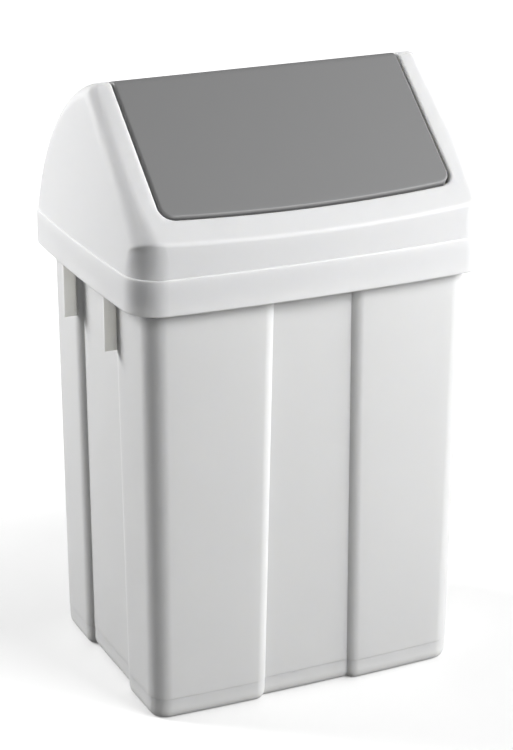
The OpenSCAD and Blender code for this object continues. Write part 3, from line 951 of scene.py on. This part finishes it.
# ---------------------------------------------------------------- body
@dataclass
class Body:
    """The tapered body with its four recessed panels, foot, flared rim and grip ribs."""

    hood: Hood
    in_x: float = 14.8
    in_y: float = 13.2
    taper_x: float = 2.5
    taper_y: float = 2.3
    top_bow: tuple = (5.4, 3.8)
    low_bow: tuple = (3.6, 0.8)
    corner: float = 17.0
    wall: float = 2.4
    base_line: float = 19.0
    base_step: float = 0.4
    foot_in: float = 4.4
    foot_h: float = 10.0
    foot_ring: float = 6.0
    base_lift: float = 2.5
    recess: float = 5.4
    column_r: float = 12.0
    top_half: tuple = (36.5, 42.0)
    low_half: tuple = (41.0, 45.5)
    play: float = 0.5
    seat: float = 0.3
    flare_up: float = 3.0
    flare_h: float = 5.0
    wall_from: float = 6.0
    wall_to: float = 0.5
    collar_row: float = 9.8
    grip_y: float = 48.4
    grip_t: float = 2.4
    grip_in: float = 5.0
    grip_h: float = 53.0
    grip_soft: float = 0.4

    # rings as (height, inset): of the foot ring's inner edge, of the fine step at the
    # base line, and down from the collar's top round its edge
    FOOT = ((0.5, 0.2), (0.1, -0.2), (0.0, -0.7))
    STEP = ((-0.5, 0.4), (0.0, 0.35), (0.35, 0.06), (0.8, 0.0))
    TOP = ((0.8, 0.0), (0.25, 0.25), (0.0, 0.8))
    # rings as (height, inset) over the floor inside, from its wall to its flat part
    BOTTOM = ((2.0, 0.0), (0.5, 0.9))
    # steps of the grids
    FLAT = 8
    BEND = 10
    OUTER = 7
    CORNER = 16
    ROUND = 10
    UP = 30
    DOWN = 24
    EASE = 7

    def __post_init__(self) -> None:
        """Works out the sizes that follow from the hood's."""
        self.top = np.array([self.hood.half_x - self.in_x, self.hood.half_y - self.in_y])
        self.low = self.top - np.array([self.taper_x, self.taper_y])
        self.flare_z = self.hood.skirt_z + self.flare_up
        self.collar_z = self.hood.ledge_z - self.hood.wall - self.seat
        self.collar_in = self.hood.wall + self.play

    def rise(self, z: float) -> float:
        """Share of the way from the base line (0) up to the flare (1)."""
        return max(0.0, (z - self.base_line) / (self.flare_z - self.base_line))

    def side_line(self, half: float, width: float, r: float, d: float, deep: float) -> Array:
        """Works out half a side.

        A flat panel at full depth, then an arc of the column's radius up to the
        surface, then straight on to where the corner starts.

        Args:
            half: Half the length of the side.
            width: Half the width of the panel.
            r: Radius of the corner.
            d: How far the ring is drawn in.
            deep: Share of the panel's depth that is used.

        Returns:
            Points as distance from the middle and depth.
        """
        e = max(self.column_r - d, self.recess)
        full = math.acos(1 - self.recess / self.column_r)
        turn = math.acos(1 - self.recess / e)
        c = width + self.column_r * math.sin(full)
        flat = np.linspace(0, c - e * math.sin(turn), self.FLAT + 1)
        bend = turn * np.linspace(1, 0, self.BEND + 1)[1:]
        on = np.linspace(c, half - r, self.OUTER + 1)[1:]
        t = np.concatenate([flat, c - e * np.sin(bend), on])
        depth = np.concatenate([
            np.full(self.FLAT + 1, self.recess), e * (1 - np.cos(bend)), np.zeros(self.OUTER)
        ])
        return np.stack([t, depth * deep], axis=-1)

    def outline(self, half: Array, r: float, widths: Sequence[float], d: float,
                deep: float, bows: Sequence[float], z: float) -> Array:
        """Works out a closed ring.

        A quarter runs along half the front, round the corner and back along half the
        side. Each side then bows out by a parabola, and the quarter is mirrored.

        Args:
            half: Half the length and half the depth of the ring.
            r: Radius of its corners.
            widths: Half the width of the panels in front and at the side.
            d: How far the ring is drawn in.
            deep: Share of the panels' depth that is used.
            bows: How far the front and the side bow out.
            z: Height of the ring.

        Returns:
            Points by xyz.
        """
        hx, hy = half
        front = self.side_line(hx, widths[0], r, d, deep)
        side = self.side_line(hy, widths[1], r, d, deep)[::-1]
        x, y = polar(r - d, np.linspace(-90, 0, self.CORNER + 1)[1:-1])
        quarter = np.concatenate([
            np.stack([front[:, 0], -(hy - d - front[:, 1])], axis=-1),
            np.stack([hx - r + x, -(hy - r) + y], axis=-1),
            np.stack([hx - d - side[:, 1], -side[:, 0]], axis=-1),
        ])
        x, y = quarter[:, 0], quarter[:, 1]
        bent = np.stack([
            x + bows[1] * (x / hx) * (1 - (y / hy) ** 2),
            y + bows[0] * (y / hy) * (1 - (x / hx) ** 2),
            np.full(len(x), z),
        ], axis=-1)
        half_turn = np.concatenate([bent, bent[-2::-1] * np.array([1, -1, 1])])
        return np.concatenate([half_turn, half_turn[-2:0:-1] * FLIP])

    def body_ring(self, z: float, d: float) -> Array:
        """Works out a ring of the body.

        Args:
            z: Height of the ring.
            d: How far it is drawn in.

        Returns:
            Points by xyz.
        """
        t = self.rise(z)
        widths = [mix(a, b, t) for a, b in zip(self.low_half, self.top_half)]
        bows = [mix(a, b, t) for a, b in zip(self.low_bow, self.top_bow)]
        return self.outline(mix(self.low, self.top, t), self.corner, widths, d, 1.0, bows, z)

    def collar_ring(self, z: float, d: float) -> Array:
        """Works out a ring of the collar that the hood sits on.

        Args:
            z: Height of the ring.
            d: How far it is drawn in.

        Returns:
            Points by xyz.
        """
        hood = self.hood
        return self.outline(
            np.array([hood.half_x, hood.half_y]), hood.skirt_r, self.top_half,
            self.collar_in + d, 0.0, (hood.bow_front, hood.bow_side), z,
        )

    def flare(self, d: float) -> list[Array]:
        """Works out the rings from body to collar, which ease in and out between the two.

        Args:
            d: How far they are drawn in.

        Returns:
            The rings, from below.
        """
        made = []
        for share in shares(self.EASE):
            z, ease = self.flare_z + d + self.flare_h * share, share * share * (3 - 2 * share)
            made.append(mix(self.body_ring(z, d), self.collar_ring(z, d), ease))
        return made

    def build(self) -> bpy.types.Object:
        """Makes the body as one closed shell, from the base up the outside and down inside.

        Returns:
            The object.
        """
        ring, collar = self.body_ring, self.collar_ring
        wall, lift, low_z = self.wall, self.base_lift, self.foot_h + self.wall
        base, top = self.foot_in + self.foot_ring, self.collar_z
        rings = [ring(lift, base + lift)]
        rings += [ring(z, base + d) for z, d in self.FOOT]
        for a in np.radians(np.linspace(0, 90, self.ROUND + 1)):
            inset = self.base_step + self.foot_in * (1 - math.sin(a))
            rings.append(ring(self.foot_h * (1 - math.cos(a)), inset))
        rings += [ring(self.base_line + z, d) for z, d in self.STEP]
        first, last = self.base_line + self.wall_from, self.flare_z - self.wall_to
        rings += [ring(z, 0) for z in np.linspace(first, last, self.UP)]
        rings += self.flare(0.0)
        rings += [collar(top - self.collar_row, 0)]
        rings += [collar(top - z, d) for z, d in self.TOP]
        rings += [collar(top - z, wall - d) for z, d in self.TOP[::-1]]
        rings += [collar(top - self.collar_row, wall)]
        rings += self.flare(wall)[::-1]
        rings += [ring(z, wall) for z in np.linspace(self.flare_z, low_z, self.DOWN)[1:-1]]
        rings += [ring(low_z, wall + self.base_step)]
        inner = self.foot_in + self.base_step
        rings += [ring(lift + wall + z, inner + d) for z, d in self.BOTTOM]
        rings += [ring(lift + wall, inner + wall)]
        skin = Skin("body_shell")
        skin.grid(np.stack(rings), around=True)
        skin.fan(rings[0])
        skin.fan(rings[-1])
        return skin.build()

    def grips(self) -> bpy.types.Object:
        """Makes the four ribs beside the hand-holds.

        Returns:
            One object that holds all of them.
        """
        hood = self.hood
        z0 = hood.skirt_z - self.grip_h
        skirt = hood.half_x + hood.bow_side * (1 - (self.grip_y / hood.half_y) ** 2)

        def side(z: float) -> float:
            """Finds the half width of the body beside a rib.

            Args:
                z: Height.

            Returns:
                The half width.
            """
            t = self.rise(z)
            bow = mix(self.low_bow[1], self.top_bow[1], t)
            return mix(self.low[0], self.top[0], t) + bow * (1 - (self.grip_y / self.top[1]) ** 2)

        full = math.acos(1 - self.recess / self.column_r)
        width = mix(self.low_half[1], self.top_half[1], self.rise(z0))
        short = width + self.column_r * math.sin(full) - self.grip_y + self.grip_t / 2
        x0 = side(z0) - (self.column_r - math.sqrt(self.column_r**2 - short**2)) - self.wall / 2
        x1 = skirt - self.grip_in

        def under(x: float) -> float:
            """Height of the flare's middle line at x."""
            share = (x - side(self.flare_z)) / (skirt - self.collar_in - side(self.flare_z))
            return self.flare_z + self.wall / 2 + self.flare_h * share

        ribs = []
        for sx in (1, -1):
            for sy in (1, -1):
                y = sy * self.grip_y - self.grip_t / 2
                corners = [(sx * x0, y, z0), (sx * x1, y, z0),
                           (sx * x1, y, under(x1)), (sx * x0, y, under(x0))]
                ribs.append((corners, (0, self.grip_t, 0)))
        return plate("body_grips", ribs, self.grip_soft)


# ---------------------------------------------------------------- pivots and ribs
@dataclass
class Pivot:
    """Pins, and the round ears of the lid and the hood that hold them."""

    hood: Hood
    lid: SwingLid
    pin_r: float = 3.0
    play: float = 0.05
    head_r: float = 5.0
    head_t: float = 1.6
    head_full: float = 0.7
    head_soft: float = 0.2
    pin_out: float = 1.6
    axis_r: float = 0.02
    ear_r: float = 7.5
    ear_out: float = 0.3
    ear_in: float = 0.8
    ear_soft: float = 0.25

    # the rounded tip, as (distance from its end, how much thinner)
    TIP = ((0.7, 0.0), (0.2, 0.25), (0.0, 0.8))
    # the domed head: its first and last angle in degrees, and its points
    DOME = (4, 80, 9)

    def ear(self, name: str, near: float, far: float, side: float) -> bpy.types.Object:
        """Makes a ring-shaped ear with softened edges.

        Args:
            name: Name of the object.
            near: x of its inner face.
            far: x of its outer face.
            side: 1 for the right-hand ear, -1 for the left-hand one.

        Returns:
            The object.
        """
        r, bore, s = self.ear_r, self.pin_r + self.play, self.ear_soft
        profile = [(near, bore + s), (near, r - s), (near + s, r), (far - s, r),
                   (far, r - s), (far, bore + s), (far - s, bore), (near + s, bore)]
        return lathe(name, profile, tuple(self.hood.pivot), side)

    def pin(self, name: str, side: float) -> bpy.types.Object:
        """Makes a pin: a domed head inside the lid and a rounded tip behind the hood.

        Args:
            name: Name of the object.
            side: 1 for the right-hand pin, -1 for the left-hand one.

        Returns:
            The object.
        """
        inner = self.hood.lid_x - self.lid.wall - self.ear_in
        tip = self.hood.opening_x + self.hood.rim_t + self.ear_in + self.pin_out
        profile = [
            (inner - self.head_t * math.cos(a), self.head_r * math.sin(a) ** self.head_full)
            for a in np.radians(np.linspace(*self.DOME))
        ]
        profile += [(inner - self.head_soft, self.head_r), (inner, self.head_r - self.head_soft),
                    (inner, self.pin_r)]
        profile += [(tip - x, self.pin_r - r) for x, r in self.TIP] + [(tip, self.axis_r)]
        return lathe(name, profile, tuple(self.hood.pivot), side)


def seat_ribs(hood: Hood, count: int = 3, thick: float = 2.0, high: float = 14.0,
              deep: float = 6.0, soft: float = 0.3) -> bpy.types.Object:
    """Makes the ribs inside the hood that rest on the body's collar.

    Args:
        hood: The hood that carries them.
        count: Ribs along the front, and along the back.
        thick: Thickness of a rib.
        high: Height of a rib.
        deep: Depth of a rib at its foot.
        soft: Radius of its softened edges.

    Returns:
        The object that holds all of them.
    """
    z0 = hood.ledge_z - hood.wall
    z1, mid = z0 + high, hood.back_r - hood.wall / 2
    ribs = []
    for i in range(count):
        x = hood.half_x * (2 * (i + 0.5) / count - 1)
        y = -(hood.upper_y + float(hood.bow(x)))

        def rear(z: float) -> float:
            """Finds the middle of the back's wall.

            Args:
                z: Height.

            Returns:
                Its y.
            """
            a = math.asin((z - hood.back_z) / mid)
            share = float(hood.rear_share(math.degrees(a)))
            return float(hood.back_c[0]) + mid * math.cos(a) + float(hood.bow(x)) * share

        left = x - thick / 2
        front = [(y + hood.wall / 2, z0), (y + hood.wall + deep, z0),
                 (y + hood.wall + thick, z1), (y + hood.wall / 2, z1)]
        back = [(rear(z0), z0), (rear(z0) - deep - hood.wall / 2, z0),
                (rear(z1) - thick, z1), (rear(z1), z1)]
        for shape in (front, back):
            ribs.append(([(left, a, b) for a, b in shape], (thick, 0, 0)))
    return plate("hood_ribs", ribs, soft)


# ---------------------------------------------------------------- shader tools
class Sum:
    """A shader socket that can be used in plain arithmetic."""

    def __init__(self, wiring: "Wiring", socket: bpy.types.NodeSocket) -> None:
        """Wraps a socket of the tree that wiring fills."""
        self.wiring, self.socket = wiring, socket

    def _math(self, kind: str, other: object) -> "Sum":
        """Adds one Math node of this socket and another value."""
        return self.wiring.node("ShaderNodeMath", {"operation": kind}, {0: self, 1: other})

    def __add__(self, other: object) -> "Sum":
        """Adds."""
        return self._math("ADD", other)

    def __mul__(self, other: object) -> "Sum":
        """Multiplies."""
        return self._math("MULTIPLY", other)


class Wiring:
    """Fills the node tree of one material or world."""

    def __init__(self, owner: bpy.types.Material | bpy.types.World) -> None:
        """Empties the tree.

        Args:
            owner: The material or world that has the tree.
        """
        owner.use_nodes = True
        self.owner, self.tree = owner, owner.node_tree
        self.tree.nodes.clear()

    def node(self, kind: str, settings: dict, inputs: dict, out: int | str = 0) -> Sum:
        """Adds one node.

        Args:
            kind: The node's type.
            settings: Its properties; "stops" fills a ramp with (place, grey) pairs.
            inputs: Values or sockets by input name or number.
            out: The output that is returned.

        Returns:
            The output, ready for arithmetic.
        """
        made = self.tree.nodes.new(kind)
        for key, value in settings.items():
            if key == "stops":
                for stop, (place, grey) in zip(made.color_ramp.elements, value):
                    stop.position, stop.color = place, (grey, grey, grey, 1)
            else:
                setattr(made, key, value)
        for key, value in inputs.items():
            if isinstance(value, Sum):
                self.tree.links.new(value.socket, made.inputs[key])
            else:
                made.inputs[key].default_value = value
        return Sum(self, made.outputs[out])

    def place(self) -> Sum:
        """Returns the Object coordinates."""
        return self.node("ShaderNodeTexCoord", {}, {}, "Object")

    def noise(self, scale: float, detail: float = 2.0, stretch: tuple = (1, 1, 1)) -> Sum:
        """Adds noise between 0 and 1.

        Args:
            scale: About how many spots lie in a metre.
            detail: How many finer layers it has.
            stretch: Scale of each axis.

        Returns:
            The noise.
        """
        at = self.node("ShaderNodeMapping", {}, {"Vector": self.place(), "Scale": stretch})
        return self.node(
            "ShaderNodeTexNoise", {}, {"Vector": at, "Scale": scale, "Detail": detail}
        )

    def ramp(self, value: Sum, low: float, high: float) -> Sum:
        """Returns 0 below low and 1 above high, with a straight rise between them."""
        stops = {"stops": [(low, 0.0), (high, 1.0)]}
        return self.node("ShaderNodeValToRGB", stops, {"Fac": value})

    def blend(self, share: Sum, first: object, second: object) -> Sum:
        """Returns a colour between first (share 0) and second (share 1)."""
        inputs = {"Factor": share, 6: first, 7: second}
        return self.node("ShaderNodeMix", {"data_type": "RGBA"}, inputs, 2)

    def span(self, value: Sum, start: float, end: float, low: float, high: float) -> Sum:
        """Maps a value to another range, and holds it there.

        Args:
            value: The value.
            start: The value that becomes low.
            end: The value that becomes high.
            low: First end of the new range.
            high: Second end of the new range.

        Returns:
            The mapped value.
        """
        return self.node("ShaderNodeMapRange", {"clamp": True}, {
            "Value": value, "From Min": start, "From Max": end, "To Min": low, "To Max": high})

    def shade(self, shader: Sum, kind: str = "Material") -> bpy.types.Material | bpy.types.World:
        """Connects the shader to the output.

        Args:
            shader: The shader.
            kind: What it is for: "Material" or "World".

        Returns:
            The material or world.
        """
        end = self.tree.nodes.new(f"ShaderNodeOutput{kind}")
        self.tree.links.new(shader.socket, end.inputs["Surface"])
        return self.owner


@dataclass(frozen=True)
class Moulded:
    """Injection-moulded plastic: colour, gloss, marks of mould and use, and painted shade.

    grain and sink are heights of the bump, scuff is the strength of the hairlines and the
    field after it that of the painted shade near the floor, and depth is how far light goes
    in, in metres. Plastic without depth is opaque.
    """

    name: str
    colour: tuple
    shade: tuple
    rough: float
    rough_play: float
    grain: float
    grain_scale: float
    sink: float
    scuff: float = 0.0
    floor_shade: float = 0.0
    specular: float = 0.5
    depth: float = 0.0

    # spots in a metre: colour, hairlines, their patches, painted shade and the waves of the walls
    DRIFT = 9.0
    HAIR = 260.0
    CROSS = 240.0
    PATCH = 14.0
    FLOOR_SHADE_SPOTS = 60.0
    WAVE = 16.0
    # a hairline's stretch, its roughness, the height of the painted shade and its tone
    THIN = (0.06, 0.07)
    WORN = 0.16
    FLOOR_SHADE_Z = 0.10
    FLOOR_SHADE_TONE = 0.72
    BUMP = 0.001
    # where the noise of the two sets of hairlines and of their patches starts and ends
    LINES = (0.60, 0.70)
    LINES_CROSS = (0.62, 0.70)
    PATCHES = (0.48, 0.66)
    RED_GREEN_BLUE = (1.0, 0.985, 0.93)

    def material(self) -> bpy.types.Material:
        """Makes the material.

        The colour drifts slowly between two close tones, and painted shade, broken up by
        noise, darkens it near the floor. The roughness follows the same drift and rises in
        fine hairline scuffs. The surface has a fine grain and, wider and shallower, the
        waves of moulded walls.

        Returns:
            The material.
        """
        wiring = Wiring(bpy.data.materials.new(self.name))
        drift = wiring.noise(self.DRIFT, 3.0)
        hair = wiring.noise(self.HAIR, 2.0, (1.0, 1.0, self.THIN[0]))
        cross = wiring.noise(self.CROSS, 2.0, (self.THIN[1], 1.0, 1.0))
        lines = wiring.ramp(hair, *self.LINES)
        lines_cross = wiring.ramp(cross, *self.LINES_CROSS)
        patch = wiring.ramp(wiring.noise(self.PATCH, 2.0), *self.PATCHES)
        height = wiring.node(
            "ShaderNodeSeparateXYZ", {}, {"Vector": wiring.place()}, "Z"
        )
        # painted shade: the colour darkens over the lowest 10 cm, broken up by noise
        low = wiring.span(height, self.FLOOR_SHADE_Z, 0.0, 0.0, 1.0)
        worn = (lines + lines_cross) * patch * self.scuff
        tone = wiring.blend(drift, (*self.colour, 1), (*self.shade, 1))
        floor_shade_mask = low * wiring.noise(self.FLOOR_SHADE_SPOTS, 4.0) * self.floor_shade
        shaded_tone = wiring.blend(floor_shade_mask, tone, tuple(self.FLOOR_SHADE_TONE * c for c in self.shade) + (1,))
        play = 2 * self.rough_play
        rough = drift * play + (self.rough - self.rough_play) + worn * self.WORN
        fine = wiring.noise(self.grain_scale, 3.0)
        wave = wiring.noise(self.WAVE, 1.0)
        bump = wiring.node("ShaderNodeBump", {}, {
            "Strength": 1.0, "Distance": self.BUMP,
            "Height": fine * self.grain + wave * self.sink})
        return wiring.shade(wiring.node("ShaderNodeBsdfPrincipled", {}, {
            "Base Color": shaded_tone, "Roughness": rough, "Specular IOR Level": self.specular,
            "Subsurface Weight": float(self.depth > 0),
            "Subsurface Radius": self.RED_GREEN_BLUE, "Subsurface Scale": self.depth,
            "Normal": bump}))


# the body's white carries painted shade near the floor
WHITE_BODY = Moulded(
    name="white_body_plastic", colour=(0.785, 0.785, 0.772), shade=(0.75, 0.752, 0.745),
    rough=0.42, rough_play=0.03, grain=0.012, grain_scale=2600.0, sink=0.10,
    scuff=0.5, floor_shade=0.10, specular=0.35, depth=0.006)
WHITE_HOOD = Moulded(
    name="white_hood_plastic", colour=(0.865, 0.865, 0.852), shade=(0.835, 0.836, 0.829),
    rough=0.44, rough_play=0.03, grain=0.010, grain_scale=2600.0, sink=0.08,
    scuff=0.4, specular=0.22, depth=0.007)
GREY_LID = Moulded(
    name="grey_lid_plastic", colour=(0.232, 0.232, 0.233), shade=(0.222, 0.223, 0.225),
    rough=0.46, rough_play=0.04, grain=0.05, grain_scale=1500.0, sink=0.05,
    scuff=0.5, specular=0.45)
GREY_PIN = Moulded(
    name="grey_pin_plastic", colour=(0.24, 0.24, 0.245), shade=(0.22, 0.22, 0.225),
    rough=0.45, rough_play=0.03, grain=0.02, grain_scale=2000.0, sink=0.0, scuff=0.3)


# ---------------------------------------------------------------- studio
@dataclass(frozen=True)
class Lamp:
    """A square soft light that looks at a point."""

    name: str
    at: tuple
    to: tuple
    size: float
    watts: float

    def hang(self) -> None:
        """Adds the lamp to the scene."""
        data = bpy.data.lights.new(self.name, "AREA")
        data.shape, data.size, data.energy = "SQUARE", self.size, self.watts
        lamp = bpy.data.objects.new(self.name, data)
        lamp.location = self.at
        away = Vector(self.to) - Vector(self.at)
        lamp.rotation_euler = away.to_track_quat("-Z", "Y").to_euler()
        link(lamp)


@dataclass(frozen=True)
class View:
    """The camera of the photograph: front left, a little above the bin. Angles are in degrees."""

    at: tuple = (-0.8132, -1.7428, 0.9961)
    azimuth: float = 25.039
    elevation: float = 20.84
    roll: float = 0.2276
    lens: float = 109.15
    sensor: float = 36.0

    def place(self) -> None:
        """Adds the camera to the scene."""
        azimuth, elevation, roll = np.radians([self.azimuth, self.elevation, self.roll])
        ahead = np.array([
            math.sin(azimuth) * math.cos(elevation),
            math.cos(azimuth) * math.cos(elevation),
            -math.sin(elevation),
        ])
        level = np.array([math.cos(azimuth), -math.sin(azimuth), 0.0])
        over = np.cross(level, ahead)
        right = level * math.cos(roll) + over * math.sin(roll)
        up = over * math.cos(roll) - level * math.sin(roll)
        data = bpy.data.cameras.new("camera")
        data.lens, data.sensor_width, data.sensor_fit = self.lens, self.sensor, "AUTO"
        camera = bpy.data.objects.new("camera", data)
        turn = Matrix(np.stack([right, up, -ahead], axis=1).tolist()).to_4x4()
        camera.matrix_world = Matrix.Translation(self.at) @ turn
        bpy.context.scene.camera = link(camera)


@dataclass
class Studio:
    """The pale floor, the soft lamps, the world and the camera."""

    lamps: tuple = (
        Lamp("key", (1.5, -1.5, 1.4), (0.0, 0.0, 0.3), 0.9, 24.0),
        Lamp("right", (2.2, -0.5, 0.8), (0.0, 0.0, 0.3), 1.2, 31.0),
        Lamp("front", (0.85, -1.8, 1.4), (0.0, 0.0, 0.4), 1.0, 34.0),
        Lamp("rear", (-1.4, 1.2, 1.3), (0.0, 0.0, 0.3), 0.9, 45.0),
        Lamp("low_rear", (-1.6, 1.4, 0.6), (0.0, 0.0, 0.3), 0.8, 9.0),
    )
    ambient: float = 0.04
    floor_size: float = 30.0
    floor_drop: float = 0.0004
    floor_tone: float = 0.22
    floor_seen: float = 0.54
    shadow_near: float = 0.3
    shadow_far: float = 1.5
    glow_near: float = 0.20

    def floor(self) -> None:
        """Lays a white floor that shows the soft shadow of the bin.

        The camera sees it paler than the light does. It glows for the camera alone,
        weakly at the bin, so that the shadow stays, and up to white further out.
        """
        mesh = bpy.data.meshes.new("floor")
        half = self.floor_size
        corners = [(-half, -half, 0), (half, -half, 0), (half, half, 0), (-half, half, 0)]
        mesh.from_pydata(corners, [], [(0, 1, 2, 3)])
        floor = link(bpy.data.objects.new("floor", mesh))
        floor.location.z = -self.floor_drop
        wiring = Wiring(bpy.data.materials.new("floor_white"))
        ray = wiring.node("ShaderNodeLightPath", {}, {}, "Is Camera Ray")
        away = wiring.node(
            "ShaderNodeVectorMath", {"operation": "LENGTH"}, {0: wiring.place()}, "Value"
        )
        far = wiring.span(away, self.shadow_near, self.shadow_far, self.glow_near, 1.0)
        tone = ray * self.floor_seen + self.floor_tone
        paint = wiring.node("ShaderNodeBsdfDiffuse", {}, {"Color": tone})
        glow = wiring.node(
            "ShaderNodeEmission", {}, {"Color": (1, 1, 1, 1), "Strength": ray * far}
        )
        both = wiring.node("ShaderNodeAddShader", {}, {0: paint, 1: glow})
        mesh.materials.append(wiring.shade(both))

    def world(self) -> None:
        """Gives the room an even light, and a white background to the camera alone."""
        wiring = Wiring(bpy.data.worlds.new("room"))
        ray = wiring.node("ShaderNodeLightPath", {}, {}, "Is Camera Ray")
        level = wiring.span(ray, 0.0, 1.0, self.ambient, 1.0)
        back = wiring.node(
            "ShaderNodeBackground", {}, {"Color": (1, 1, 1, 1), "Strength": level}
        )
        bpy.context.scene.world = wiring.shade(back, "World")

    def set_up(self) -> None:
        """Adds everything that is around the bin."""
        self.floor()
        self.world()
        View().place()
        for lamp in self.lamps:
            lamp.hang()
        bpy.context.scene.view_settings.view_transform = "Standard"


# ---------------------------------------------------------------- the bin
@dataclass
class Piece:
    """A finished object with the body it rides on, its finish and what it stands for."""

    shape: bpy.types.Object
    body: str
    finish: bpy.types.Material
    slot: str
    nodes: tuple = ()

    def fit(self) -> None:
        """Dresses the piece, hangs it on its body and hides the solids that it stands for."""
        self.shape.data.materials.clear()
        self.shape.data.materials.append(self.finish)
        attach(self.shape, self.body)
        if self.nodes:
            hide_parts(*self.nodes)
        LOG.info("%s rides on %s", self.shape.name, self.body)


@dataclass
class WasteBin:
    """The whole bin: body, hood, swing lid and pivots."""

    hood: Hood = field(default_factory=Hood)

    def pieces(self) -> list[Piece]:
        """Builds all the pieces.

        Returns:
            The pieces, not yet dressed.
        """
        hood = self.hood
        lid, body = SwingLid(hood), Body(hood)
        pivot = Pivot(hood, lid)
        white, shell = WHITE_BODY.material(), WHITE_HOOD.material()
        grey, pin = GREY_LID.material(), GREY_PIN.material()
        made = [
            Piece(body.build(), "body", white, "white_body", ("bin_body",)),
            Piece(body.grips(), "body", white, "white_body"),
            Piece(hood.build(), "hood", shell, "white_hood", ("hood",)),
            Piece(seat_ribs(hood), "hood", shell, "white_hood"),
            Piece(lid.build(), "lid", grey, "grey_lid", ("swing_lid",)),
        ]
        lid_ear = hood.lid_x - lid.wall - pivot.ear_in, hood.lid_x + pivot.ear_out
        hood_ear = hood.opening_x - pivot.ear_out, hood.opening_x + hood.rim_t + pivot.ear_in
        for word, side in (("left", -1.0), ("right", 1.0)):
            stub = pivot.pin(f"pin_{word}", side)
            inner = pivot.ear(f"lid_ear_{word}", *lid_ear, side)
            outer = pivot.ear(f"hood_ear_{word}", *hood_ear, side)
            made += [
                Piece(stub, "lid", pin, "grey_pin", (f"pivot_pin_{word}",)),
                Piece(inner, "lid", grey, "grey_lid"),
                Piece(outer, "hood", shell, "white_hood"),
            ]
        return made


def main() -> None:
    """Builds and dresses the bin and sets up the studio."""
    for piece in WasteBin().pieces():
        piece.fit()
    Studio().set_up()
    bpy.context.view_layer.update()


if __name__ == "__main__":
    logging.basicConfig(level=logging.INFO)
    main()
